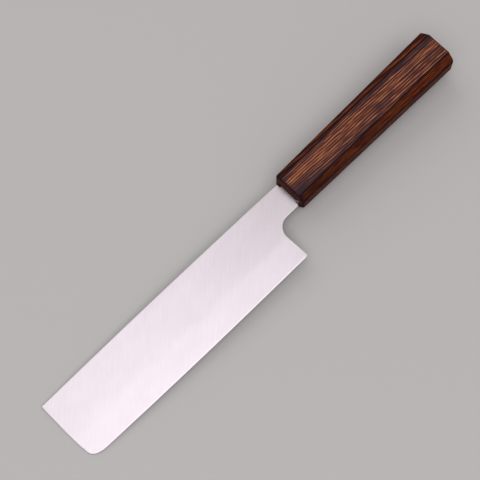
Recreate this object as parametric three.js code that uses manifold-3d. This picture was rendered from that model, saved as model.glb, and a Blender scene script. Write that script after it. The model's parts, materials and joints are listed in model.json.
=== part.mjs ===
// Square-ended vegetable knife: a thin ground blade whose hidden tang is bedded in an octagonal
// handle of burnt oak. Millimetres, +Z up. The finished knife lies on its right side on z = 0.
//
// Bench frame while the pieces are made: x = 0 on the handle's front face, +X towards the butt;
// y = 0 on the handle's axis, +Y towards the spine; z = 0 on the blade's mid-plane.

import * as THREE from 'three';
import { mergeVertices } from 'three/addons/utils/BufferGeometryUtils.js';
import Module from 'manifold-3d';

const wasm = await Module();
wasm.setup();

// Blade outline
const EDGE_LENGTH = 165;           // heel corner to the square front
const BLADE_HEIGHT = 42.3;         // spine to edge at the heel
const SPINE_OFFSET = 8.2;          // spine above the handle's axis, at the handle
const SPINE_LIFT = 1.95;           // climb of the spine from there to its crest
const SPINE_CREST_FROM_FRONT = 21; // where the spine is highest
const EDGE_RISE = 2.7;             // climb of the edge from heel to front
const FRONT_STRAIGHT = 16;         // straight part of the front, down from the spine
const FRONT_RELIEF = 1;            // how far the front leans back above its lower corner
const CORNER_RISE = 5.6;           // rounding of that lower corner, up the front
const CORNER_RUN = 10;             // and along the edge
const HEEL_LEAN = 0.8;             // how far the heel corner stands behind the notch
const NOTCH_RADIUS = 8.25;         // round of the finger notch between heel and neck
const NECK_LENGTH = 18.1;          // heel corner to the handle's front face
const NECK_HEIGHT = 17.5;

// Blade sections
const SPINE_THICKNESS_HEEL = 2.2;
const SPINE_THICKNESS_FRONT = 1.6;
const FACE_TAPER = 0.4;            // thickness lost from the spine to the shoulder of the bevels
const BEVEL_HEIGHT = 16;           // edge to the shoulder of the wide bevels
const FINE_BEVEL_HEIGHT = 0.9;     // edge to the top of the final bevel
const FINE_BEVEL_THICKNESS = 0.4;  // thickness at the top of the final bevel
const EDGE_LAND = 0.1;             // width of the edge itself
const SPINE_CHAMFER = 0.35;

// Tang, a tapered spike behind the neck's shoulders
const TANG_LENGTH = 88;            // inside the handle
const TANG_END_HEIGHT = 6;
const TANG_END_THICKNESS = 1.4;
const SHOULDER_STEP = 2.35;        // neck to tang, at spine and belly
const FACE_STEP = 0.08;            // neck to tang, on each face
const SHOULDER_GAP = 1;            // the shoulders stop this far short of the handle

// Handle
const HANDLE_LENGTH = 125;
const FRONT_WIDTH = 22.5;          // across the blade's height
const FRONT_THICKNESS = 18.5;      // across the blade's faces
const FRONT_BEVEL = 3.7;           // corner cut of the octagon
const BUTT_WIDTH = 26.2;
const BUTT_THICKNESS = 21.3;
const BUTT_BEVEL = 5;
const FRONT_CHAMFER = 1.5;
const BUTT_EASING = 1.2;

// How the tang is held
const CLEARANCE = 0.3;             // between pieces that bear on each other
const BEDDING_WALL = 0.8;          // resin on each side of the tang
const SEAL_DEPTH = 2;              // filler collar at the mouth
const SEAL_INSET = 0.15;           // its face below the handle's front face

// Fineness of the curved outlines
const BLADE_STATIONS = 16;
const ARC_STEPS = 20;
const SOCKET_CORNER_STEPS = 4;

const lerp = THREE.MathUtils.lerp;

function solidFrom(geometry) {
  const bare = geometry.clone();
  bare.deleteAttribute('normal');
  bare.deleteAttribute('uv');
  const merged = mergeVertices(bare);
  return new wasm.Manifold(new wasm.Mesh({
    numProp: 3,
    vertProperties: new Float32Array(merged.attributes.position.array),
    triVerts: new Uint32Array(merged.index.array),
  }));
}

function meshFrom(solid, name, material) {
  const { vertProperties, triVerts } = solid.getMesh();
  const indexed = new THREE.BufferGeometry();
  indexed.setAttribute('position', new THREE.BufferAttribute(vertProperties, 3));
  indexed.setIndex(new THREE.BufferAttribute(triVerts, 1));
  const geometry = indexed.toNonIndexed();
  geometry.computeVertexNormals();
  const mesh = new THREE.Mesh(geometry, material);
  mesh.name = name;
  return mesh;
}

// A closed skin over convex rings of equal count, each ring an array of Vector3 that turns
// from +Y to +Z about +X, and the rings in order of x.
function loft(rings) {
  const count = rings[0].length;
  const index = [];
  for (let r = 0; r + 1 < rings.length; r += 1) {
    for (let k = 0; k < count; k += 1) {
      const a = r * count + k;
      const b = r * count + (k + 1) % count;
      index.push(a, b, a + count, b, b + count, a + count);
    }
  }
  const last = (rings.length - 1) * count;
  for (let k = 1; k + 1 < count; k += 1) {
    index.push(0, k + 1, k);
    index.push(last, last + k, last + k + 1);
  }
  const geometry = new THREE.BufferGeometry().setFromPoints(rings.flat());
  geometry.setIndex(index);
  return geometry;
}

// Places along the knife
const heelX = -NECK_LENGTH;
const frontX = heelX - EDGE_LENGTH;
const crestX = frontX + SPINE_CREST_FROM_FRONT;
const neckY = SPINE_OFFSET - NECK_HEIGHT;

const spineY = (x) => SPINE_OFFSET + SPINE_LIFT * (1 - ((x - crestX) / crestX) ** 2);
const heelY = spineY(heelX) - BLADE_HEIGHT;
const edgeY = (x) => heelY + EDGE_RISE * ((x - heelX) / EDGE_LENGTH) ** 2;

// Half thickness of the flat main face: one plane that thins towards the front and the edge
function faceHalf(x, y) {
  const along = (x - heelX) / EDGE_LENGTH;
  const spine = SPINE_THICKNESS_HEEL + (SPINE_THICKNESS_HEEL - SPINE_THICKNESS_FRONT) * along;
  const below = (SPINE_OFFSET - y) / (BLADE_HEIGHT - BEVEL_HEIGHT);
  return (spine - FACE_TAPER * below) / 2;
}

// The blade's side view, from the heel round the notch, the neck, the spine, the front and the edge
function bladeOutline() {
  const outline = new THREE.Shape();
  const notchX = heelX - HEEL_LEAN + NOTCH_RADIUS;
  const notchY = neckY - NOTCH_RADIUS;
  const toHeel = Math.atan2(heelY - notchY, heelX - notchX) + 2 * Math.PI;
  const reach = Math.hypot(heelX - notchX, heelY - notchY);
  const touch = toHeel - Math.acos(NOTCH_RADIUS / reach);
  outline.moveTo(heelX, heelY);
  outline.lineTo(notchX + NOTCH_RADIUS * Math.cos(touch), notchY + NOTCH_RADIUS * Math.sin(touch));
  outline.absarc(notchX, notchY, NOTCH_RADIUS, touch, Math.PI / 2, true);
  outline.lineTo(-SHOULDER_GAP, neckY);
  for (let k = 0; k <= BLADE_STATIONS; k += 1) {
    const x = lerp(-SHOULDER_GAP, frontX, k / BLADE_STATIONS);
    outline.lineTo(x, spineY(x));
  }

  const straightY = spineY(frontX) - FRONT_STRAIGHT;
  const cornerY = edgeY(frontX) + CORNER_RISE;
  const leanX = frontX + FRONT_RELIEF;
  const cornerX = leanX + 2 * FRONT_RELIEF * CORNER_RISE / (straightY - cornerY);
  const edgeStartX = cornerX + CORNER_RUN;
  outline.lineTo(frontX, straightY);
  outline.quadraticCurveTo(frontX, (straightY + cornerY) / 2, leanX, cornerY);
  outline.quadraticCurveTo(cornerX, edgeY(cornerX), edgeStartX, edgeY(edgeStartX));
  for (let k = 1; k < BLADE_STATIONS; k += 1) {
    const x = lerp(edgeStartX, heelX, k / BLADE_STATIONS);
    outline.lineTo(x, edgeY(x));
  }
  return outline;
}

// The ground envelope at x: spine chamfers, flat faces, wide bevels and final bevels.
// It runs past the spine and the edge to a point, so that the outline alone sets both.
function grindSection(x) {
  const chamferY = spineY(x) - SPINE_CHAMFER;
  const shoulderY = edgeY(x) + BEVEL_HEIGHT;
  const fineY = edgeY(x) + FINE_BEVEL_HEIGHT;
  const spineHalf = faceHalf(x, chamferY);
  const shoulderHalf = faceHalf(x, shoulderY);
  const fineHalf = FINE_BEVEL_THICKNESS / 2;
  const pastEdge = FINE_BEVEL_HEIGHT * fineHalf / (fineHalf - EDGE_LAND / 2);
  return [
    [chamferY + spineHalf, 0],
    [chamferY, spineHalf],
    [shoulderY, shoulderHalf],
    [fineY, fineHalf],
    [fineY - pastEdge, 0],
    [fineY, -fineHalf],
    [shoulderY, -shoulderHalf],
    [chamferY, -spineHalf],
  ].map(([y, z]) => new THREE.Vector3(x, y, z));
}

// The tang's section at x, grown on all sides; grown corners are rounded by as much.
// It leaves the neck at mid-height and comes to the handle's axis at its end.
function tangSection(x, grow) {
  const along = x / TANG_LENGTH;
  const rootHalf = faceHalf(-SHOULDER_GAP, neckY) - FACE_STEP;
  const centreY = lerp(SPINE_OFFSET - NECK_HEIGHT / 2, 0, along);
  const halfHeight = lerp(NECK_HEIGHT - 2 * SHOULDER_STEP, TANG_END_HEIGHT, along) / 2;
  const halfThickness = lerp(rootHalf, TANG_END_THICKNESS / 2, along);
  const steps = grow > 0 ? SOCKET_CORNER_STEPS : 0;
  const ring = [];
  for (let corner = 0; corner < 4; corner += 1) {
    const sideY = corner === 0 || corner === 3 ? 1 : -1;
    const sideZ = corner < 2 ? 1 : -1;
    for (let k = 0; k <= steps; k += 1) {
      const turn = (corner + (steps ? k / steps : 0)) * Math.PI / 2;
      ring.push(new THREE.Vector3(
        x,
        centreY + sideY * halfHeight + grow * Math.cos(turn),
        sideZ * halfThickness + grow * Math.sin(turn),
      ));
    }
  }
  return ring;
}

const tangSpace = (from, to, grow) => solidFrom(loft([tangSection(from, grow), tangSection(to, grow)]));

// Steel: the outline cut from stock, ground to its sections, with the tang behind the shoulders
function makeBlade() {
  const stock = 2 * SPINE_THICKNESS_HEEL;
  const blank = new THREE.ExtrudeGeometry(bladeOutline(), {
    depth: stock,
    bevelEnabled: false,
    curveSegments: ARC_STEPS,
  });
  blank.translate(0, 0, -stock / 2);

  const sections = [];
  for (let k = -1; k <= BLADE_STATIONS + 1; k += 1) {
    sections.unshift(grindSection(lerp(-SHOULDER_GAP, frontX, k / BLADE_STATIONS)));
  }
  const ground = solidFrom(blank).intersect(solidFrom(loft(sections)));
  return ground.add(tangSpace(-NECK_LENGTH / 2, TANG_LENGTH, 0));
}

// Handle section at x, pulled in on every side by the inset
function handleSection(x, inset) {
  const along = x / HANDLE_LENGTH;
  const halfWidth = lerp(FRONT_WIDTH, BUTT_WIDTH, along) / 2 - inset;
  const halfThickness = lerp(FRONT_THICKNESS, BUTT_THICKNESS, along) / 2 - inset;
  const bevel = lerp(FRONT_BEVEL, BUTT_BEVEL, along) - (2 - Math.SQRT2) * inset;
  const flatY = halfWidth - bevel;
  const flatZ = halfThickness - bevel;
  return [
    [halfWidth, flatZ],
    [flatY, halfThickness],
    [-flatY, halfThickness],
    [-halfWidth, flatZ],
    [-halfWidth, -flatZ],
    [-flatY, -halfThickness],
    [flatY, -halfThickness],
    [halfWidth, -flatZ],
  ].map(([y, z]) => new THREE.Vector3(x, y, z));
}

const beddingGrow = CLEARANCE + BEDDING_WALL;
const socketGrow = beddingGrow + CLEARANCE;
const beddingEnd = TANG_LENGTH + beddingGrow;

// Burnt oak: an octagon that swells to the butt, with the socket for tang, resin and filler
function makeHandle() {
  const block = solidFrom(loft([
    handleSection(0, FRONT_CHAMFER),
    handleSection(FRONT_CHAMFER, 0),
    handleSection(HANDLE_LENGTH - BUTT_EASING, 0),
    handleSection(HANDLE_LENGTH, BUTT_EASING),
  ]));
  return block.subtract(tangSpace(-SHOULDER_GAP, beddingEnd + CLEARANCE, socketGrow));
}

// Resin: a sheath that fills the socket behind the filler and closes over the tang's end
function makeBedding() {
  const sheath = tangSpace(SEAL_DEPTH + CLEARANCE, beddingEnd, beddingGrow);
  return sheath.subtract(tangSpace(0, TANG_LENGTH + CLEARANCE, CLEARANCE));
}

// Filler: a collar that closes the socket's mouth round the tang
function makeSeal() {
  const collar = tangSpace(SEAL_INSET, SEAL_DEPTH, beddingGrow);
  return collar.subtract(tangSpace(-SHOULDER_GAP, SEAL_DEPTH + SHOULDER_GAP, CLEARANCE));
}

const steel = new THREE.MeshStandardMaterial({ color: 0xe3d6dc, metalness: 1, roughness: 0.34 });
const burntOak = new THREE.MeshStandardMaterial({ color: 0x5a3828, metalness: 0, roughness: 0.45 });
const resin = new THREE.MeshStandardMaterial({ color: 0x8c6a3c, metalness: 0, roughness: 0.4 });
const filler = new THREE.MeshStandardMaterial({ color: 0x9a7f68, metalness: 0, roughness: 0.8 });

const knife = new THREE.Group();
knife.add(meshFrom(makeBlade(), 'blade', steel));
knife.add(meshFrom(makeHandle(), 'handle', burntOak));
knife.add(meshFrom(makeBedding(), 'tang_bedding', resin));
knife.add(meshFrom(makeSeal(), 'mouth_seal', filler));

// Lay the knife down as it comes to rest on its right side: on the front end of the blade's flat
// face and on the handle's lower front corner below the edge.
const chamferY = spineY(frontX) - SPINE_CHAMFER;
const shoulderY = edgeY(frontX) + BEVEL_HEIGHT;
const restSpine = new THREE.Vector3(frontX, chamferY, -faceHalf(frontX, chamferY));
const restShoulder = new THREE.Vector3(frontX, shoulderY, -faceHalf(frontX, shoulderY));
const restHandle = handleSection(FRONT_CHAMFER, 0)[5];
const table = new THREE.Plane().setFromCoplanarPoints(restShoulder, restHandle, restSpine);
knife.quaternion.setFromUnitVectors(table.normal, new THREE.Vector3(0, 0, 1));
knife.position.z = table.constant;

// Origin under the middle of the box that holds the knife
const middle = new THREE.Box3().setFromObject(knife, true).getCenter(new THREE.Vector3());
knife.position.x -= middle.x;
knife.position.y -= middle.y;

export default knife;
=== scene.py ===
# A square-ended vegetable knife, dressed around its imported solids: a blade of satin steel, the
# filler and resin that hold its tang, and a handle of burnt oak. Metres, in the part's own frame.
import json
import math

import bpy
import numpy as np
from mathutils import Matrix, Vector
from mathutils.geometry import delaunay_2d_cdt


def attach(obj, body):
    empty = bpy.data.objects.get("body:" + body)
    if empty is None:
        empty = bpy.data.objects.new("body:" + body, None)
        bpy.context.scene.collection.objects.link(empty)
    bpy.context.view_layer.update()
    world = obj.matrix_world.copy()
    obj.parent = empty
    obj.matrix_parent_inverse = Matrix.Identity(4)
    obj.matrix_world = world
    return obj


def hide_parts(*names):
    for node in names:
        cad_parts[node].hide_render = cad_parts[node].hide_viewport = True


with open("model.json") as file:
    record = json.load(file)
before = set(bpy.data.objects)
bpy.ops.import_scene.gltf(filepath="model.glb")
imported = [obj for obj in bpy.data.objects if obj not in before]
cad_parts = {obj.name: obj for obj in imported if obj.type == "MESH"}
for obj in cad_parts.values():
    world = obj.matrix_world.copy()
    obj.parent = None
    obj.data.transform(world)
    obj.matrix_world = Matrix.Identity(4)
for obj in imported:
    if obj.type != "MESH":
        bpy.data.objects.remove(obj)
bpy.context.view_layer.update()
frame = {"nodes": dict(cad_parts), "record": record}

# How the knife lies
# It rests on its right side, a little nose down. Its pieces are drawn in millimetres on a bench that
# is tilted with it: x = 0 at the handle's front face, +x to the butt, y = 0 on the handle's axis,
# +y to the spine, and z = 0 on the blade's mid-plane. The two faces that a rack holds place the bench.
MM = 0.001
RACK_ON_BENCH = Vector((-100, -4, 0)) * MM  # the point midway between the two faces' mounts

mounts = {mount["name"]: mount for mount in frame["record"]["mounts"]}
left_face = mounts["blade_left_face"]
right_face = mounts["blade_right_face"]
upright = Vector(left_face["axis"]) - Vector(right_face["axis"])
tilt = Vector((0, 0, 1)).rotation_difference(upright)
rack_point = (Vector(left_face["pos_m"]) + Vector(right_face["pos_m"])) / 2
bench = Matrix.LocRotScale(rack_point - tilt @ RACK_ON_BENCH, tilt, None)
bench_mm = bench @ Matrix.Scale(MM, 4)

# Blade
# One thin piece of steel, cut square at the front and ground to wide bevels with a fine one at the
# edge. The hidden tang is forged on behind the neck's shoulders. The last belt has left slanting
# scratches on its faces, and the corners of the spine, the front and the finger notch are eased.
EDGE_LENGTH = 165
BLADE_HEIGHT = 42.3        # at the heel
SPINE_OFFSET = 8.2         # from the handle's axis to the spine, at the handle
SPINE_LIFT = 1.95
SPINE_CREST_FROM_FRONT = 21
EDGE_RISE = 2.7            # of the curved edge, from the heel to the front
FRONT_STRAIGHT = 16
FRONT_RELIEF = 1           # how far the front leans back below its straight part
CORNER_RISE = 5.6
CORNER_RUN = 10
HEEL_LEAN = 0.8
NOTCH_RADIUS = 8.25
NECK_LENGTH = 18.1
NECK_HEIGHT = 17.5
SPINE_THICKNESS_HEEL = 2.2
SPINE_THICKNESS_FRONT = 1.6
FACE_TAPER = 0.4           # that the faces lose in thickness from the spine to the bevels
BEVEL_HEIGHT = 16
BEVEL_BLEND = 0.07         # how softly the wide bevels leave the flat faces
FINE_BEVEL_HEIGHT = 0.9
FINE_BEVEL_THICKNESS = 0.4
EDGE_LAND = 0.1
SPINE_EASE = 0.35
CORNER_EASE = 0.2
EASE_SHARE = 0.6           # of the half thickness, the most that an eased corner takes
EASE_TURNS = np.radians((0, 30, 60, 90))
TANG_LENGTH = 88
TANG_END_HEIGHT = 6
TANG_END_THICKNESS = 1.4
SHOULDER_STEP = 2.35       # from the neck in to the tang, above and below
SHOULDER_GAP = 1           # from the shoulders to the handle
FACE_STEP = 0.08           # from the neck's faces in to the tang's
OUTLINE_STEP = 2.5         # between points on the blade's outline
TANG_STEP = 5              # the same along the tang
CURVE_POINTS = 20
NET_STEP = 2.5             # between rows and columns of points over the faces
NET_MARGIN = 1             # that these points keep from the rim
NET_INSIDE = 1             # triangulation that keeps only what lies within the rim
NET_TOLERANCE = 1e-5
SHOULDER_BAND = 3          # above and below the wide bevel's top, where the rows are 1 apart
UPPER_ROWS = 5             # from the wide bevel's top to the rows above that band
STEEL_DARK = (0.645, 0.620, 0.630)
STEEL_PALE = (0.72, 0.692, 0.703)
SATIN_ROUGHNESS = (0.27, 0.37)
SCRATCH_SLANT = math.radians(42)
LONG_SCRATCH = (16, 0.8, 9)  # lengths along the slant, across it and through the blade
FINE_SCRATCH = (6, 0.2, 9)
STEEL_CLOUD = (34, 14, 14)
SCRATCH_SHARE = 0.6        # of the steel's shading; clouds make the rest
SCRATCH_BUMP = 0.2
SCRATCH_DEPTH = 0.02
NOISE_SPAN = (0.3, 0.7)    # where most of a noise lies
WIDE_NOISE_SPAN = (0.25, 0.75)

heel_x = -NECK_LENGTH
front_x = heel_x - EDGE_LENGTH
crest_x = front_x + SPINE_CREST_FROM_FRONT
neck_y = SPINE_OFFSET - NECK_HEIGHT
tang_root_y = SPINE_OFFSET - NECK_HEIGHT / 2
tang_root_height = NECK_HEIGHT - 2 * SHOULDER_STEP


def spine_y(x):
    return SPINE_OFFSET + SPINE_LIFT * (1 - ((x - crest_x) / crest_x) ** 2)


heel_y = spine_y(heel_x) - BLADE_HEIGHT


def edge_y(x):
    return heel_y + EDGE_RISE * ((x - heel_x) / EDGE_LENGTH) ** 2


def face_half(x, y):
    """Half thickness between the flat faces, which thin towards the front and the edge."""
    thinning = SPINE_THICKNESS_HEEL - SPINE_THICKNESS_FRONT
    spine = SPINE_THICKNESS_HEEL + thinning * (x - heel_x) / EDGE_LENGTH
    return (spine - FACE_TAPER * (SPINE_OFFSET - y) / (BLADE_HEIGHT - BEVEL_HEIGHT)) / 2


tang_root_half = face_half(-SHOULDER_GAP, neck_y) - FACE_STEP


def half_thickness(x, y):
    """Half thickness of the finished blade or tang."""
    flat = face_half(x, y)
    up = y - edge_y(x)
    shoulder = face_half(x, edge_y(x) + BEVEL_HEIGHT)
    fine_top = FINE_BEVEL_THICKNESS / 2
    wide_height = BEVEL_HEIGHT - FINE_BEVEL_HEIGHT
    wide = fine_top + (shoulder - fine_top) * (up - FINE_BEVEL_HEIGHT) / wide_height
    fine = EDGE_LAND / 2 + (fine_top - EDGE_LAND / 2) * up / FINE_BEVEL_HEIGHT
    share = np.clip(0.5 + 0.5 * (wide - flat) / BEVEL_BLEND, 0, 1)
    soft = wide + (flat - wide) * share - BEVEL_BLEND * share * (1 - share)
    tang = tang_root_half + (TANG_END_THICKNESS / 2 - tang_root_half) * x / TANG_LENGTH
    return np.where(x > -SHOULDER_GAP + CORNER_EASE, tang, np.minimum(soft, fine))


def straight(start, end, step=OUTLINE_STEP):
    """Points from start up to, not at, end, about a step apart."""
    start, end = np.array(start, float), np.array(end, float)
    count = max(1, round(np.linalg.norm(end - start) / step))
    return [start + (end - start) * k / count for k in range(count)]


def bow(start, pull, end, count=CURVE_POINTS):
    """Points on a quadratic curve from start up to, not at, end."""
    start, pull, end = np.array(start, float), np.array(pull, float), np.array(end, float)
    shares = [k / count for k in range(count)]
    return [start * (1 - t) ** 2 + pull * 2 * t * (1 - t) + end * t**2 for t in shares]


def blade_outline():
    """The blade's side view with its tang, counter-clockwise from the heel, and each point's easing."""
    notch = np.array((heel_x - HEEL_LEAN + NOTCH_RADIUS, neck_y - NOTCH_RADIUS))
    to_heel = np.array((heel_x, heel_y)) - notch
    heel_turn = math.atan2(to_heel[1], to_heel[0]) + 2 * math.pi
    touch = heel_turn - math.acos(NOTCH_RADIUS / np.hypot(*to_heel))
    turns = np.linspace(touch, math.pi / 2, CURVE_POINTS, endpoint=False)
    arc = [notch + NOTCH_RADIUS * np.array((math.cos(turn), math.sin(turn))) for turn in turns]

    shoulder_x = -SHOULDER_GAP
    neck_low = (shoulder_x, neck_y)
    root_low = (shoulder_x, tang_root_y - tang_root_height / 2)
    end_low = (TANG_LENGTH, -TANG_END_HEIGHT / 2)
    end_high = (TANG_LENGTH, TANG_END_HEIGHT / 2)
    root_high = (shoulder_x, tang_root_y + tang_root_height / 2)
    neck_high = (shoulder_x, spine_y(shoulder_x))
    spine = [(x, spine_y(x)) for x, _ in straight((shoulder_x, 0), (front_x, 0))]

    front_high = (front_x, spine_y(front_x))
    front_mid = (front_x, front_high[1] - FRONT_STRAIGHT)
    front_low = (front_x + FRONT_RELIEF, edge_y(front_x) + CORNER_RISE)
    front_pull = (front_x, (front_mid[1] + front_low[1]) / 2)
    corner_x = front_low[0] + 2 * FRONT_RELIEF * CORNER_RISE / (front_mid[1] - front_low[1])
    corner_pull = (corner_x, edge_y(corner_x))
    edge_start = (corner_x + CORNER_RUN, edge_y(corner_x + CORNER_RUN))
    edge = [(x, edge_y(x)) for x, _ in straight((edge_start[0], 0), (heel_x, 0))]
    running_out = CORNER_EASE * np.linspace(1, 0, CURVE_POINTS)

    stretches = [
        (straight((heel_x, heel_y), arc[0]), CORNER_EASE),
        (arc, CORNER_EASE),
        (straight((notch[0], neck_y), neck_low), CORNER_EASE),
        (straight(neck_low, root_low), CORNER_EASE),
        (straight(root_low, end_low, TANG_STEP), CORNER_EASE),
        (straight(end_low, end_high), CORNER_EASE),
        (straight(end_high, root_high, TANG_STEP), CORNER_EASE),
        (straight(root_high, neck_high), CORNER_EASE),
        (spine, SPINE_EASE),
        (straight(front_high, front_mid), CORNER_EASE),
        (bow(front_mid, front_pull, front_low), CORNER_EASE),
        (bow(front_low, corner_pull, edge_start), running_out),
        (edge, 0),
    ]
    points = np.array([point for stretch, _ in stretches for point in stretch])
    eases = np.concatenate([np.full(len(stretch), ease, float) for stretch, ease in stretches])
    return points, eases


def inward(points):
    """The step from each point of a counter-clockwise outline that moves both its sides in by one."""
    ahead = np.roll(points, -1, 0) - points
    ahead /= np.linalg.norm(ahead, axis=1, keepdims=True)
    left = np.stack((-ahead[:, 1], ahead[:, 0]), 1)
    both = left + np.roll(left, 1, 0)
    return both * 2 / (both**2).sum(1, keepdims=True)


def inside(points, ring):
    """Which points lie within a closed ring."""
    x, y = points[:, :1], points[:, 1:]
    (x0, y0), (x1, y1) = ring.T, np.roll(ring, -1, 0).T
    level = np.where(y1 == y0, 1, y1 - y0)
    crossed = ((y0 > y) != (y1 > y)) & (x < x0 + (x1 - x0) * (y - y0) / level)
    return crossed.sum(1) % 2 == 1


def face_points(ring):
    """Points over the faces, in rows that follow the edge and lie close where the wide bevel starts."""
    low_rows = np.arange(NET_STEP, BEVEL_HEIGHT - SHOULDER_BAND - NET_STEP / 2, NET_STEP)
    close_rows = np.arange(BEVEL_HEIGHT - SHOULDER_BAND, BEVEL_HEIGHT + SHOULDER_BAND + 1)
    high_rows = np.arange(BEVEL_HEIGHT + UPPER_ROWS, BLADE_HEIGHT, NET_STEP)
    rows = (*low_rows, *close_rows, *high_rows)
    columns = np.arange(front_x + NET_STEP / 2, TANG_LENGTH, NET_STEP)
    points = np.array([(x, edge_y(x) + up) for x in columns for up in rows])
    points = points[inside(points, ring)]
    gaps = np.linalg.norm(points[:, None] - ring[None], axis=2).min(1)
    return points[gaps > NET_MARGIN]


def round_pairs(count):
    """Each point of a closed ring with the next one."""
    return [(k, (k + 1) % count) for k in range(count)]


def band_faces(first, second, pairs):
    """Faces between two rings whose points start at these numbers."""
    return [(first + i, first + j, second + j, second + i) for i, j in pairs]


def bench_mesh(name, points, faces):
    """A mesh from points in millimetres on the bench, put where the knife lies."""
    mesh = bpy.data.meshes.new(name)
    mesh.from_pydata(points, [], faces)
    mesh.transform(bench_mm)
    return mesh


def blade_mesh():
    """Loops round the rim that ease its corners, then a net over the faces, on both sides alike."""
    outline, eases = blade_outline()
    rim_half = half_thickness(*outline.T)
    ground = np.clip(1 - eases / CORNER_EASE, 0, 1)
    reaches = eases + (FINE_BEVEL_HEIGHT - eases) * ground
    eases = np.minimum(eases, EASE_SHARE * rim_half)
    loops = []
    for turn in EASE_TURNS:
        loop = outline + inward(outline) * (reaches * (1 - math.cos(turn)))[:, None]
        heights = half_thickness(*loop.T) - eases * (1 - math.sin(turn))
        loops.append(np.column_stack((loop, heights)))
    stay = outline + inward(outline) * (reaches + CORNER_EASE)[:, None]
    loops.append(np.column_stack((stay, half_thickness(*stay.T))))

    count = len(outline)
    pairs = round_pairs(count)
    flat_points = [Vector(p) for p in (*stay, *face_points(stay))]
    net, _, triangles, *_ = delaunay_2d_cdt(flat_points, pairs, [], NET_INSIDE, NET_TOLERANCE)
    net = np.array(net)
    inner = np.column_stack((net, half_thickness(*net.T)))[count:]
    top = np.vstack((*loops, inner))
    last_loop = (len(loops) - 1) * count

    faces = []
    for start in range(0, last_loop, count):
        faces += band_faces(start, start + count, pairs)
    faces += [tuple(last_loop + k for k in triangle) for triangle in triangles]
    under = len(top)
    faces += [tuple(under + k for k in reversed(face)) for face in faces]
    faces += band_faces(under, 0, pairs)
    return bench_mesh("blade", np.vstack((top, top * (1, 1, -1))).tolist(), faces)


def set_inputs(tree, target, inputs):
    """Sets a node's inputs, as plain values or as links from other nodes."""
    for key, value in inputs.items():
        if isinstance(value, bpy.types.NodeSocket):
            tree.links.new(value, target.inputs[key])
        else:
            target.inputs[key].default_value = value


def node(tree, kind, inputs=None, **settings):
    """Adds a node with its settings and its inputs."""
    made = tree.nodes.new(kind)
    for name, value in settings.items():
        setattr(made, name, value)
    set_inputs(tree, made, inputs or {})
    return made


def calc(tree, operation, first, *others):
    """One operation on a value, or on several from left to right."""
    if not others:
        return node(tree, "ShaderNodeMath", {0: first}, operation=operation).outputs[0]
    for value in others:
        first = node(tree, "ShaderNodeMath", {0: first, 1: value}, operation=operation).outputs[0]
    return first


def fit(tree, value, low, high, to_low=0.0, to_high=1.0):
    """The value from low to high, clamped and put on another range."""
    ends = {"From Min": low, "From Max": high, "To Min": to_low, "To Max": to_high}
    return node(tree, "ShaderNodeMapRange", {"Value": value, **ends}).outputs["Result"]


def noise(tree, place, detail=2.0, roughness=0.5):
    inputs = {"Vector": place, "Scale": 1.0, "Detail": detail, "Roughness": roughness}
    return node(tree, "ShaderNodeTexNoise", inputs).outputs["Fac"]


def blend(tree, share, low, high, kind="MIX"):
    """Two colours or colour sockets mixed, or multiplied, by a share."""
    mixed = node(tree, "ShaderNodeMix", {"Factor": share}, data_type="RGBA", blend_type=kind)
    for name, colour in (("A", low), ("B", high)):
        socket = next(s for s in mixed.inputs if s.name == name and s.type == "RGBA")
        if isinstance(colour, bpy.types.NodeSocket):
            tree.links.new(colour, socket)
        else:
            socket.default_value = (*colour, 1)
    return next(s for s in mixed.outputs if s.type == "RGBA")


def bumped(tree, height, strength, depth):
    """Normals that follow a height of so many millimetres."""
    inputs = {"Strength": strength, "Distance": depth * MM, "Height": height}
    return node(tree, "ShaderNodeBump", inputs).outputs["Normal"]


def on_bench(tree, stretch=(1, 1, 1), slant=0.0):
    """Places on the bench, turned by a slant about z, counted in stretches of so many millimetres."""
    turn = (tilt.to_matrix() @ Matrix.Rotation(slant, 3, "Z")).to_euler()
    inputs = {
        "Vector": node(tree, "ShaderNodeTexCoord").outputs["Object"],
        "Location": bench.translation,
        "Rotation": turn,
        "Scale": Vector(stretch) * MM,
    }
    return node(tree, "ShaderNodeMapping", inputs, vector_type="TEXTURE").outputs["Vector"]


def new_material(name):
    """A material with its tree and its one shader."""
    material = bpy.data.materials.new(name)
    material.use_nodes = True
    return material, material.node_tree, material.node_tree.nodes["Principled BSDF"]


def satin_steel():
    material, tree, shader = new_material("satin_steel")
    long_scratches = noise(tree, on_bench(tree, LONG_SCRATCH, SCRATCH_SLANT), detail=4, roughness=0.6)
    fine_scratches = noise(tree, on_bench(tree, FINE_SCRATCH, SCRATCH_SLANT), roughness=0.6)
    clouds = noise(tree, on_bench(tree, STEEL_CLOUD), detail=1)
    scratched = calc(tree, "MULTIPLY", long_scratches, SCRATCH_SHARE)
    clouded = calc(tree, "MULTIPLY", clouds, 1 - SCRATCH_SHARE)
    shade = fit(tree, calc(tree, "ADD", scratched, clouded), *NOISE_SPAN)
    set_inputs(tree, shader, {
        "Base Color": blend(tree, shade, STEEL_DARK, STEEL_PALE),
        "Metallic": 1,
        "Roughness": fit(tree, fine_scratches, *WIDE_NOISE_SPAN, *SATIN_ROUGHNESS),
        "Normal": bumped(tree, fine_scratches, SCRATCH_BUMP, SCRATCH_DEPTH),
    })
    return material


def add_object(name, data):
    made = bpy.data.objects.new(name, data)
    bpy.context.scene.collection.objects.link(made)
    return made


def add_piece(name, mesh, replaced):
    """Shows a mesh as the piece that stands for a solid of the part."""
    piece = add_object(name, mesh)
    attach(piece, "root")
    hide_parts(replaced)


steel_mesh = blade_mesh()
steel_mesh.shade_smooth()
steel_mesh.materials.append(satin_steel())
add_piece("satin_blade", steel_mesh, "blade")

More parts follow.
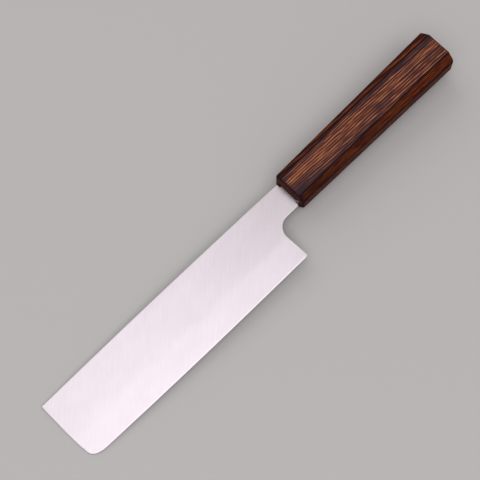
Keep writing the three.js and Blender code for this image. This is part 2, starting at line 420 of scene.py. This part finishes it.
# Tang bedding
# Resin that was poured round the tang and has set to a clear amber. It fills the socket from the
# filler back, so it shows only where the handle is taken off.
RESIN_DARK = (0.28, 0.16, 0.06)
RESIN_PALE = (0.42, 0.27, 0.11)
RESIN_CLOUD = (6, 3, 3)
RESIN_ROUGHNESS = (0.2, 0.35)


def amber_resin():
    material, tree, shader = new_material("amber_resin")
    clouds = noise(tree, on_bench(tree, RESIN_CLOUD))
    set_inputs(tree, shader, {
        "Base Color": blend(tree, clouds, RESIN_DARK, RESIN_PALE),
        "Roughness": fit(tree, clouds, *NOISE_SPAN, *RESIN_ROUGHNESS),
    })
    return material


frame["nodes"]["tang_bedding"].material_slots[0].material = amber_resin()

# Handle
# One block of oak, shaped to an octagon that swells towards the butt, chamfered at the front and
# eased at the butt. It was charred, brushed along the grain, which left the soft rings low, and
# lacquered. The tang's socket runs into it from the front.
HANDLE_LENGTH = 125
FRONT_WIDTH = 22.5
FRONT_THICKNESS = 18.5
FRONT_BEVEL = 3.7
BUTT_WIDTH = 26.2
BUTT_THICKNESS = 21.3
BUTT_BEVEL = 5
FRONT_CHAMFER = 1.5
BUTT_EASING = 1.2
ARRIS_SHARPNESS = 90       # power that rounds the octagon's corners; higher is sharper
RIM_EASE = 0.3             # rounding of the rims at both ends
RIM_POINTS = 4
SOCKET_GROW = 1.4          # from the tang out to the socket's wall
POINTS_AROUND = 320
ROW_STEP = 0.7
SOCKET_ROWS = 30
MOUTH_ROWS = (1, 0.66, 0.33)      # over the front face, from the socket's rim out
BUTT_ROWS = (0.75, 0.5, 0.25, 0)  # over the butt's face, from its rim to its middle
MERGE_DISTANCE = 0.001

# The grain: how long and wide each of its patterns is, and how light it makes the wood
PITH = (-48, -40)          # y and z of the tree's middle, which the rings run round
RING_WIDTH = 1.03
RING_LIGHT = (-0.015, 0.445)
RING_UNEVEN = 0.4          # how far a ring strays in and out
UNEVEN_PATTERN = (50, 2.2, 1)
UNEVEN_SPAN = (0.2, 0.8)
GRAIN_SLOPE = 0.027        # how far the grain runs towards the edge, for each mm to the butt
MEANDER = 0.5              # how far it strays from straight
MEANDER_PATTERN = (90, 16, 16)
YEARS_PATTERN = (50, 7, 7)
YEARS_LIGHT = (0.1, 0.26)
LINE_PATTERN = (8, 0.7, 0.7)
LINE_SPAN = (0.34, 0.66)
LINE_LIGHT = (0, 0.4)
PORE_PATTERN = (5, 0.55, 0.55)
PORE_SPAN = (0.48, 0.6)
PORE_SEASON = (0.5, -0.5)  # pores fill the dark half of a ring
GRAIN_DEPTH = 0.05         # how far brushing sank the soft rings
PORE_DEPTH = 0.5           # of a pore, as a share of that

# The brushing of the broad flats: a pale band along them, and their two sides. A RUN is a pair of
# places along the handle, and a LIGHT is what the wood's lightness gains at each of them
BAND_Y = 2.3
BAND_HALF = (1.6, 3.6)
BAND_RUN = (8, 30)
BAND_LIGHT = (0.15, 0.09)
BESIDE_BAND_LIGHT = -0.02
SPINE_SIDE_Y = (2.8, 6.6)
SPINE_SIDE_RUN = (50, 100)
SPINE_SIDE_LIGHT = (-0.08, -0.26)
EDGE_SIDE_Y = (-4.2, -6.0)
EDGE_SIDE_RUN = (40, 75)
EDGE_SIDE_LIGHT = (-0.12, 0.08)

# The colours, from charred to brushed oak, the stain and char that lie over them, and the painted shade
# that darkens the narrow sides towards char
OAK_TONES = (
    (0.20, (0.020, 0.004, 0.006)),
    (0.42, (0.054, 0.011, 0.009)),
    (0.59, (0.12, 0.029, 0.0155)),
    (0.76, (0.23, 0.066, 0.026)),
    (0.94, (0.43, 0.155, 0.056)),
)
CHAR = (0.012, 0.005, 0.010)
PORE_CHAR = 0.8
BEVEL_BROWN = (0.115, 0.030, 0.016)
BEVEL_EVENNESS = 0.25      # how far the bevels are evened to that brown
BEVEL_STAIN_FRONT = (0.39, 0.29, 0.17)
BEVEL_STAIN_BUTT = (0.78, 0.52, 0.24)
BEVEL_STAIN_RUN = (5, 115)
NARROW_SIDE_PAINTED_SHADE = 0.45           # painted shade: how far the narrow sides are darkened towards char
SOAKED_BROWN = (0.055, 0.017, 0.011)
SOAK = 0.55                # of that brown in the butt's end grain
SOAK_RUN = (118, 122)
STREAK_SPAN = (0.2, 0.8)   # from dark to light streaks
RAGGED = (0.006, -0.010)   # how far streaks shift the char on the arrises
TOAST_SPAN = (0.86, 0.97)  # towards the arrises, which lie at 1
TOAST = 0.4
BLACK_LINE_SPAN = (0.957, 0.978)
BLACK_LINE = 0.97
SCORCH_RUN = (26, 2)
SCORCH_Y = (1, -5)
SCORCH = 0.8
RIM_LINE_X = 0.6 * FRONT_CHAMFER
RIM_LINE_HALF = (0.25, 0.9)
RIM_LINE = 0.95
FRONT_CHAR_RUN = (4, 1.2)
FRONT_CHAR = 0.6
OAK_ROUGHNESS = (0.9, 0.75)
OAK_SPECULAR = 0.08
GRAIN_BUMP = 0.3
LACQUER_SPAN = (0.3, 0.8)  # charred wood keeps more lacquer than brushed wood
LACQUER = (0.6, 0.34)
LACQUER_ROUGHNESS = 0.42
LACQUER_IOR = 1.45


def vector_calc(tree, operation, *values):
    made = node(tree, "ShaderNodeVectorMath", dict(enumerate(values)), operation=operation)
    return made.outputs["Value" if operation == "LENGTH" else "Vector"]


def split(tree, place):
    return node(tree, "ShaderNodeSeparateXYZ", {0: place}).outputs


def joined(tree, **sides):
    return node(tree, "ShaderNodeCombineXYZ", sides).outputs[0]


def oak_figure(tree, place):
    """Light streaks along the grain, and its open pores, both from 0 to 1, at a place on the bench."""
    def pattern(at, lengths, span, *light):
        stretched = vector_calc(tree, "MULTIPLY", at, [1 / length for length in lengths])
        return fit(tree, noise(tree, stretched, detail=1), *span, *light)

    along = split(tree, place)["X"]
    meander = pattern(place, MEANDER_PATTERN, WIDE_NOISE_SPAN, -MEANDER, MEANDER)
    run_out = calc(tree, "ADD", meander, calc(tree, "MULTIPLY", along, GRAIN_SLOPE))
    grown = vector_calc(tree, "ADD", place, joined(tree, Y=run_out, Z=meander))
    from_pith = vector_calc(tree, "SUBTRACT", grown, (0, *PITH))
    ring = vector_calc(tree, "LENGTH", vector_calc(tree, "MULTIPLY", from_pith, (0, 1, 1)))
    ring_place = joined(tree, X=along, Y=ring)
    uneven = pattern(ring_place, UNEVEN_PATTERN, UNEVEN_SPAN, -RING_UNEVEN, RING_UNEVEN)
    turns = calc(tree, "MULTIPLY", calc(tree, "ADD", ring, uneven), 2 * math.pi / RING_WIDTH)
    season = calc(tree, "SINE", turns)
    years = pattern(grown, YEARS_PATTERN, NOISE_SPAN, *YEARS_LIGHT)
    rings = fit(tree, season, -1, 1, *RING_LIGHT)
    lines = pattern(grown, LINE_PATTERN, LINE_SPAN, *LINE_LIGHT)
    vessels = pattern(grown, PORE_PATTERN, PORE_SPAN)
    pores = calc(tree, "MULTIPLY", vessels, fit(tree, season, *PORE_SEASON))
    return calc(tree, "ADD", years, rings, lines), pores


def flat_brushing(tree, place):
    """How much lighter or darker brushing left each part of the broad flats."""
    from_band = calc(tree, "ABSOLUTE", calc(tree, "SUBTRACT", place["Y"], BAND_Y))
    crest = fit(tree, place["X"], *BAND_RUN, *BAND_LIGHT)
    band = fit(tree, from_band, *BAND_HALF, crest, BESIDE_BAND_LIGHT)
    spine_light = fit(tree, place["X"], *SPINE_SIDE_RUN, *SPINE_SIDE_LIGHT)
    spine_side = calc(tree, "MULTIPLY", spine_light, fit(tree, place["Y"], *SPINE_SIDE_Y))
    edge_light = fit(tree, place["X"], *EDGE_SIDE_RUN, *EDGE_SIDE_LIGHT)
    edge_side = calc(tree, "MULTIPLY", edge_light, fit(tree, place["Y"], *EDGE_SIDE_Y))
    return calc(tree, "ADD", band, spine_side, edge_side)


def oak_tone(tree, brushed):
    """The oak's colour, from charred to brushed."""
    ramp = node(tree, "ShaderNodeValToRGB", {"Fac": brushed})
    while len(ramp.color_ramp.elements) < len(OAK_TONES):
        ramp.color_ramp.elements.new(1)
    for element, (position, colour) in zip(ramp.color_ramp.elements, OAK_TONES):
        element.position = position
        element.color = (*colour, 1)
    return ramp.outputs["Color"]


def front_char(tree, place, on_flat):
    """How charred the front end is: scorched on the flats' edge side, and black along its rim."""
    scorch = fit(tree, place["X"], *SCORCH_RUN, 0, SCORCH)
    scorch = calc(tree, "MULTIPLY", scorch, fit(tree, place["Y"], *SCORCH_Y), on_flat)
    from_rim_line = calc(tree, "ABSOLUTE", calc(tree, "SUBTRACT", place["X"], RIM_LINE_X))
    rim_line = fit(tree, from_rim_line, *RIM_LINE_HALF, RIM_LINE, 0)
    fading = fit(tree, place["X"], *FRONT_CHAR_RUN, 0, FRONT_CHAR)
    return calc(tree, "MAXIMUM", scorch, rim_line, fading)


def burnt_oak():
    material, tree, shader = new_material("burnt_oak")

    def mark(name):
        return node(tree, "ShaderNodeAttribute", attribute_name=name).outputs["Fac"]

    arris, on_bevel, on_flat = mark("arris"), mark("bevel"), mark("broad_flat")
    end_grain = mark("end_grain")
    place = split(tree, on_bench(tree))
    light, pores = oak_figure(tree, on_bench(tree))
    brushing = calc(tree, "MULTIPLY", on_flat, flat_brushing(tree, place))
    brushed = calc(tree, "ADD", light, brushing)
    colour = blend(tree, calc(tree, "MULTIPLY", pores, PORE_CHAR), oak_tone(tree, brushed), CHAR)

    colour = blend(tree, calc(tree, "MULTIPLY", on_bevel, BEVEL_EVENNESS), colour, BEVEL_BROWN)
    to_butt = fit(tree, place["X"], *BEVEL_STAIN_RUN)
    stain = blend(tree, to_butt, BEVEL_STAIN_FRONT, BEVEL_STAIN_BUTT)
    colour = blend(tree, on_bevel, colour, stain, "MULTIPLY")
    # Painted shade: the narrow sides are darkened towards char, as they would look in shadow.
    on_side = calc(tree, "SUBTRACT", 1, on_bevel, calc(tree, "MAXIMUM", on_flat, end_grain))
    colour = blend(tree, calc(tree, "MULTIPLY", on_side, NARROW_SIDE_PAINTED_SHADE), colour, CHAR)
    soak = calc(tree, "MULTIPLY", end_grain, fit(tree, place["X"], *SOAK_RUN, 0, SOAK))
    colour = blend(tree, soak, colour, SOAKED_BROWN)

    ragged = calc(tree, "ADD", arris, fit(tree, light, *STREAK_SPAN, *RAGGED))
    colour = blend(tree, fit(tree, ragged, *TOAST_SPAN, 0, TOAST), colour, CHAR)
    black_line = fit(tree, ragged, *BLACK_LINE_SPAN, 0, BLACK_LINE)
    colour = blend(tree, black_line, colour, CHAR)
    colour = blend(tree, front_char(tree, place, on_flat), colour, CHAR)

    off_end = calc(tree, "SUBTRACT", 1, end_grain)
    off_line = calc(tree, "SUBTRACT", 1, black_line)
    lacquer = fit(tree, brushed, *LACQUER_SPAN, *LACQUER)
    set_inputs(tree, shader, {
        "Base Color": colour,
        "Roughness": fit(tree, light, *STREAK_SPAN, *OAK_ROUGHNESS),
        "Normal": bumped(tree, light, GRAIN_BUMP, GRAIN_DEPTH),
        "Specular IOR Level": OAK_SPECULAR,
        "Coat Weight": calc(tree, "MULTIPLY", on_flat, off_end, off_line, lacquer),
        "Coat Roughness": LACQUER_ROUGHNESS,
        "Coat IOR": LACQUER_IOR,
    })
    return material


def rounded(corners, ease):
    """A line through the corners, with each inner one replaced by a small curve."""
    corners = [np.array(corner, float) for corner in corners]
    points = [corners[0]]
    for before, corner, after in zip(corners, corners[1:], corners[2:]):
        start = corner + (before - corner) * ease / np.linalg.norm(before - corner)
        end = corner + (after - corner) * ease / np.linalg.norm(after - corner)
        points += bow(start, corner, end, RIM_POINTS) + [end]
    return points + [corners[-1]]


def handle_rail():
    """One vertex for each ring of the handle, from the socket's end out over the front to the butt's
    middle. Each carries its x, how far it is pulled in, its share of the socket's section, how open
    it is, its share of end grain and whether it lies on the sides."""
    socket_end = TANG_LENGTH + SOCKET_GROW
    socket_rows = [(socket_end, 0, 1, 0)]
    socket_rows += [(x, 0, 1, 1) for x in np.linspace(socket_end, RIM_EASE, SOCKET_ROWS)]
    mouth_rows = [(0, 2 * FRONT_CHAMFER, share, 1) for share in MOUTH_ROWS]
    rims = rounded(
        [
            (0, 2 * FRONT_CHAMFER),
            (0, FRONT_CHAMFER),
            (FRONT_CHAMFER, 0),
            (HANDLE_LENGTH - BUTT_EASING, 0),
            (HANDLE_LENGTH, BUTT_EASING),
            (HANDLE_LENGTH, 2 * BUTT_EASING),
        ],
        RIM_EASE,
    )
    front_rim = [point for point in rims if point[0] < HANDLE_LENGTH / 2]
    butt_rim = [point for point in rims if point[0] > HANDLE_LENGTH / 2]
    body_start = (FRONT_CHAMFER + RIM_EASE, 0)
    body_end = (HANDLE_LENGTH - BUTT_EASING - RIM_EASE, 0)
    body = straight(body_start, body_end, ROW_STEP)[1:]
    outer_rows = [(x, inset, 0, 1) for x, inset in (*front_rim, *body, *butt_rim)]
    butt_rows = [(HANDLE_LENGTH, 2 * BUTT_EASING, 0, opened) for opened in BUTT_ROWS]

    rows = np.array(socket_rows + mouth_rows + outer_rows + butt_rows, float)
    station, inset, socket, opened = rows.T
    carried = {
        "station": station,
        "inset": inset,
        "socket": socket,
        "opened": opened,
        "end": np.clip(inset / BUTT_EASING + socket, 0, 1),
        "side": (inset < BUTT_EASING) & (socket == 0),
    }
    count = len(rows)
    mesh = bpy.data.meshes.new("handle_rail")
    mesh.from_pydata([(k, 0, 0) for k in range(count)], [(k, k + 1) for k in range(count - 1)], [])
    for name, values in carried.items():
        attribute = mesh.attributes.new(name, "FLOAT", "POINT")
        attribute.data.foreach_set("value", values.astype(np.float32))
    return mesh


def octagon_tree(sizes, material):
    """Sweeps a round along the rail and sets each point where the octagon, or the socket, has its wall.
    Then it sinks the soft rings of the grain."""
    tree = bpy.data.node_groups.new("octagonal_handle", "GeometryNodeTree")
    tree.interface.new_socket("Rail", in_out="INPUT", socket_type="NodeSocketGeometry")
    for name in sizes:
        tree.interface.new_socket(name, in_out="INPUT", socket_type="NodeSocketFloat")
    tree.interface.new_socket("Handle", in_out="OUTPUT", socket_type="NodeSocketGeometry")
    given = node(tree, "NodeGroupInput").outputs

    def row(name):
        found = node(tree, "GeometryNodeInputNamedAttribute", {"Name": name}, data_type="FLOAT")
        return next(s for s in found.outputs if s.name == "Attribute" and s.enabled)

    def taper(front, butt, share):
        inputs = {"Factor": share, "A": front, "B": butt}
        return node(tree, "ShaderNodeMix", inputs, clamp_factor=False).outputs[0]

    def half(size):
        return calc(tree, "MULTIPLY", size, 0.5)

    def wall(terms):
        """How far out the wall lies, with rounded corners. Each term grows to 1 on its own plane."""
        largest = calc(tree, "MAXIMUM", *terms)
        shares = [calc(tree, "DIVIDE", term, largest) for term in terms]
        powers = [calc(tree, "POWER", share, ARRIS_SHARPNESS) for share in shares]
        rounding = calc(tree, "POWER", calc(tree, "ADD", *powers), -1 / ARRIS_SHARPNESS)
        return calc(tree, "DIVIDE", rounding, largest), largest

    curve = node(tree, "GeometryNodeMeshToCurve", {"Mesh": given["Rail"]}).outputs["Curve"]
    circle_sizes = {"Resolution": POINTS_AROUND, "Radius": 1.0}
    circle = node(tree, "GeometryNodeCurvePrimitiveCircle", circle_sizes).outputs["Curve"]
    swept = node(tree, "GeometryNodeCurveToMesh", {"Curve": curve, "Profile Curve": circle})

    around = split(tree, node(tree, "GeometryNodeInputPosition").outputs[0])
    wide = calc(tree, "ABSOLUTE", around["Y"])
    tall = calc(tree, "ABSOLUTE", around["Z"])
    station, inset, socket, opened = (row(name) for name in ("station", "inset", "socket", "opened"))

    along = calc(tree, "DIVIDE", station, given["Length"])
    width = taper(given["Front Width"], given["Butt Width"], along)
    thickness = taper(given["Front Thickness"], given["Butt Thickness"], along)
    bevel = taper(given["Front Bevel"], given["Butt Bevel"], along)
    half_width = calc(tree, "SUBTRACT", half(width), inset)
    half_thick = calc(tree, "SUBTRACT", half(thickness), inset)
    square_corner = half(calc(tree, "ADD", width, thickness))
    bevel_inset = calc(tree, "MULTIPLY", inset, math.sqrt(2))
    across = calc(tree, "SUBTRACT", square_corner, bevel, bevel_inset)
    side_term = calc(tree, "DIVIDE", wide, half_width)
    flat_term = calc(tree, "DIVIDE", tall, half_thick)
    bevel_term = calc(tree, "DIVIDE", calc(tree, "ADD", wide, tall), across)
    terms = (side_term, flat_term, bevel_term)
    octagon, largest = wall(terms)
    smallest = calc(tree, "MINIMUM", *terms)
    second = calc(tree, "SUBTRACT", calc(tree, "ADD", *terms), largest, smallest)

    down_tang = calc(tree, "DIVIDE", station, given["Tang Length"])
    slot_height = taper(given["Slot Height"], given["Slot End Height"], down_tang)
    slot_thick = taper(given["Slot Thickness"], given["Slot End Thickness"], down_tang)
    slot_side = calc(tree, "DIVIDE", wide, half(slot_height))
    slot_flat = calc(tree, "DIVIDE", tall, half(slot_thick))
    slot, _ = wall((slot_side, slot_flat))
    slot_y = calc(tree, "MULTIPLY", taper(given["Slot Centre"], 0.0, down_tang), socket)

    reach = calc(tree, "MULTIPLY", taper(octagon, slot, socket), opened)
    place_y = calc(tree, "ADD", calc(tree, "MULTIPLY", around["Y"], reach), slot_y)
    place = joined(tree, X=station, Y=place_y, Z=calc(tree, "MULTIPLY", around["Z"], reach))
    on_bevel = calc(tree, "GREATER_THAN", bevel_term, calc(tree, "MAXIMUM", side_term, flat_term))
    on_flat = calc(tree, "GREATER_THAN", flat_term, calc(tree, "MAXIMUM", side_term, bevel_term))
    arris = calc(tree, "DIVIDE", second, largest)
    facets = {"arris": arris, "bevel": on_bevel, "broad_flat": on_flat}
    marks = {name: calc(tree, "MULTIPLY", value, row("side")) for name, value in facets.items()}
    marks["end_grain"] = row("end")
    marked = swept.outputs["Mesh"]
    for name, value in marks.items():
        inputs = {"Geometry": marked, "Name": name, "Value": value}
        kinds = {"data_type": "FLOAT", "domain": "POINT"}
        marked = node(tree, "GeometryNodeStoreNamedAttribute", inputs, **kinds).outputs[0]
    shaped = node(tree, "GeometryNodeSetPosition", {"Geometry": marked, "Position": place}).outputs[0]

    light, pores = oak_figure(tree, node(tree, "GeometryNodeInputPosition").outputs[0])
    low_rings = calc(tree, "SUBTRACT", 1, light)
    low = calc(tree, "ADD", low_rings, calc(tree, "MULTIPLY", pores, PORE_DEPTH))
    outside = calc(tree, "MULTIPLY", calc(tree, "SUBTRACT", 1, socket), opened)
    depth = calc(tree, "MULTIPLY", low, outside, given["Grain Depth"], -1)
    normal = node(tree, "GeometryNodeInputNormal").outputs[0]
    sunk = node(tree, "ShaderNodeVectorMath", {0: normal, "Scale": depth}, operation="SCALE").outputs[0]
    brushed = node(tree, "GeometryNodeSetPosition", {"Geometry": shaped, "Offset": sunk}).outputs[0]

    merging = {"Geometry": brushed, "Distance": MERGE_DISTANCE}
    closed = node(tree, "GeometryNodeMergeByDistance", merging).outputs[0]
    whole = node(tree, "GeometryNodeRealizeInstances", {"Geometry": closed}).outputs[0]
    dressing = {"Geometry": whole, "Material": material}
    dressed = node(tree, "GeometryNodeSetMaterial", dressing).outputs[0]
    node(tree, "NodeGroupOutput", {"Handle": dressed})
    return tree


handle_sizes = {
    "Length": HANDLE_LENGTH,
    "Front Width": FRONT_WIDTH,
    "Front Thickness": FRONT_THICKNESS,
    "Front Bevel": FRONT_BEVEL,
    "Butt Width": BUTT_WIDTH,
    "Butt Thickness": BUTT_THICKNESS,
    "Butt Bevel": BUTT_BEVEL,
    "Tang Length": TANG_LENGTH,
    "Slot Height": tang_root_height + 2 * SOCKET_GROW,
    "Slot End Height": TANG_END_HEIGHT + 2 * SOCKET_GROW,
    "Slot Thickness": 2 * (tang_root_half + SOCKET_GROW),
    "Slot End Thickness": TANG_END_THICKNESS + 2 * SOCKET_GROW,
    "Slot Centre": tang_root_y,
    "Grain Depth": GRAIN_DEPTH,
}
rail = add_object("handle_rail", handle_rail())
sweep = rail.modifiers.new("octagon", "NODES")
sweep.node_group = octagon_tree(handle_sizes, burnt_oak())
for item in sweep.node_group.interface.items_tree:
    if item.name in handle_sizes:
        sweep[item.identifier] = float(handle_sizes[item.name])
swept_rail = rail.evaluated_get(bpy.context.evaluated_depsgraph_get())
oak_mesh = bpy.data.meshes.new_from_object(swept_rail)
bpy.data.objects.remove(rail)
oak_mesh.transform(bench_mm)
oak_mesh.shade_smooth()
add_piece("burnt_oak_handle", oak_mesh, "handle")

# Mouth seal
# Filler pressed into the socket's mouth round the tang, where it has sunk a little as it dried. It took
# the handle's dark stain, but for a bare tan spot below the tang.
SEAL_DEPTH = 2
SEAL_INSET = 0.15
SEAL_SAG = 0.25            # how much deeper it lies halfway between tang and wall
SEAL_FACE = ((0.2, 0.4), (0.5, 1), (0.8, 0.6))  # shares of the way to the wall, and of the sag there
SEAL_CREEP = 0.35          # how far it has crept forward on the tang
SEAL_BITE = 0.03           # how far it reaches into the tang's and the wall's roughness
STAIN_DARK = (0.022, 0.010, 0.006)
STAIN_PALE = (0.050, 0.022, 0.012)
BARE_TAN = (0.72, 0.56, 0.35)
BARE_FROM = 0.6            # above the tang's lower side, where the bare spot starts
BARE_WHOLE = -0.4          # below it, where all is bare
BARE_CRUMBS = (0.6, 1)     # how bare the low and the high crumbs are there
BARE_CRUMB_SPAN = (0.3, 0.5)
CRUMB = (0.5, 0.5, 0.5)
FILLER_ROUGHNESS = (0.75, 0.95)
FILLER_SPECULAR = 0.15


def slot_ring(x, out):
    """Points round the tang at x, so far out from it."""
    centre = tang_root_y * (1 - x / TANG_LENGTH)
    high, thick = tang_root_height / 2 + out, tang_root_half + out
    corners = [(high, 0), (high, thick), (-high, thick), (-high, -thick), (high, -thick), (high, 0)]
    return [(x, centre + y, z) for y, z in rounded(corners, CORNER_EASE)[:-1]]


def filler_mesh():
    """Rings from the tang over the sunken face to the wall, back along it, and home along the tang."""
    face, back = SEAL_INSET, SEAL_INSET + SEAL_DEPTH
    wall = SOCKET_GROW + SEAL_BITE
    rings = [
        slot_ring(face - SEAL_CREEP, -SEAL_BITE),
        *(slot_ring(face + sag * SEAL_SAG, out * wall) for out, sag in SEAL_FACE),
        slot_ring(face, wall),
        slot_ring(back, wall),
        slot_ring(back, -SEAL_BITE),
    ]
    count = len(rings[0])
    faces = []
    for ring, after in round_pairs(len(rings)):
        faces += band_faces(ring * count, after * count, round_pairs(count))
    return bench_mesh("mouth_filler", [point for ring in rings for point in ring], faces)


def stained_filler():
    material, tree, shader = new_material("stained_filler")
    height = split(tree, on_bench(tree))["Y"]
    crumbs = noise(tree, on_bench(tree, CRUMB), detail=3)
    low_side = tang_root_y - tang_root_height / 2
    below = fit(tree, height, low_side + BARE_FROM, low_side + BARE_WHOLE)
    bare = calc(tree, "MULTIPLY", below, fit(tree, crumbs, *BARE_CRUMB_SPAN, *BARE_CRUMBS))
    stain = blend(tree, crumbs, STAIN_DARK, STAIN_PALE)
    set_inputs(tree, shader, {
        "Base Color": blend(tree, bare, stain, BARE_TAN),
        "Roughness": fit(tree, crumbs, *NOISE_SPAN, *FILLER_ROUGHNESS),
        "Specular IOR Level": FILLER_SPECULAR,
    })
    return material


seal_mesh = filler_mesh()
seal_mesh.materials.append(stained_filler())
add_piece("mouth_filler_ring", seal_mesh, "mouth_seal")

# Floor
# A plain pale sheet of matt paper under the knife, wide enough to fill every view. The knife only
# lies on it.
FLOOR_HALF = 15
FLOOR_COLOUR = (0.56, 0.57, 0.545, 1)
FLOOR_ROUGHNESS = 0.9
FLOOR_SPECULAR = 0.1

floor_paper, floor_tree, floor_shader = new_material("floor_paper")
set_inputs(floor_tree, floor_shader, {
    "Base Color": FLOOR_COLOUR,
    "Roughness": FLOOR_ROUGHNESS,
    "Specular IOR Level": FLOOR_SPECULAR,
})
floor_corners = [(x * FLOOR_HALF, y * FLOOR_HALF, 0) for x, y in ((-1, -1), (1, -1), (1, 1), (-1, 1))]
floor_mesh = bpy.data.meshes.new("floor")
floor_mesh.from_pydata(floor_corners, [], [(0, 1, 2, 3)])
floor_mesh.materials.append(floor_paper)
floor = add_object("floor", floor_mesh)

# Light
# A wide soft box overhead, a little pink, which the blade mirrors, most strongly towards its front and
# edge, and a white one low on the spine's side, which sets the shadow towards the edge. A dim, even
# room fills in the rest.
ROOM_COLOUR = (1, 0.965, 0.95, 1)
ROOM_STRENGTH = 0.4


def soft_box(name, at, towards, size, watts, colour, turn=0):
    lamp = bpy.data.lights.new(name, "AREA")
    lamp.color = colour
    lamp.shape = "RECTANGLE"
    lamp.size, lamp.size_y = size
    lamp.energy = watts
    box = add_object(name, lamp)
    box.location = at
    aim = (Vector(towards) - Vector(at)).to_track_quat("-Z", "Y")
    box.rotation_euler = (aim.to_matrix() @ Matrix.Rotation(turn, 3, "Z")).to_euler()


soft_box(
    "overhead",
    at=(-0.86, -1.07, 2.4),
    towards=(-0.86, -1.07, 0),
    size=(3.5, 3.0),
    watts=42,
    colour=(1, 0.91, 1.01),
    turn=math.radians(25),
)
soft_box(
    "spine_side",
    at=(0.3, 2.2, 1.8),
    towards=(0, 0, 0),
    size=(2.6, 2.0),
    watts=14,
    colour=(1, 1, 1),
)

room = bpy.data.worlds.new("studio")
room.use_nodes = True
room_inputs = {"Color": ROOM_COLOUR, "Strength": ROOM_STRENGTH}
set_inputs(room.node_tree, room.node_tree.nodes["Background"], room_inputs)
bpy.context.scene.world = room
bpy.context.scene.view_settings.view_transform = "Standard"

# Camera
# It stands where the photograph was taken from, high over the edge's side, with a long lens.
CAMERA_AZIMUTH = math.radians(-44.82)
CAMERA_ELEVATION = math.radians(72.17)
CAMERA_DISTANCE = 718.3 * MM
CAMERA_TARGET = Vector((-8.52, 12.06, 0)) * MM
LENS = 93.83
SENSOR = 36

back = Vector((
    math.sin(CAMERA_AZIMUTH) * math.cos(CAMERA_ELEVATION),
    -math.cos(CAMERA_AZIMUTH) * math.cos(CAMERA_ELEVATION),
    math.sin(CAMERA_ELEVATION),
))
camera = add_object("camera", bpy.data.cameras.new("camera"))
camera.data.lens = LENS
camera.data.sensor_width = SENSOR
camera.location = CAMERA_TARGET + back * CAMERA_DISTANCE
camera.rotation_euler = (-back).to_track_quat("-Z", "Y").to_euler()
bpy.context.scene.camera = camera
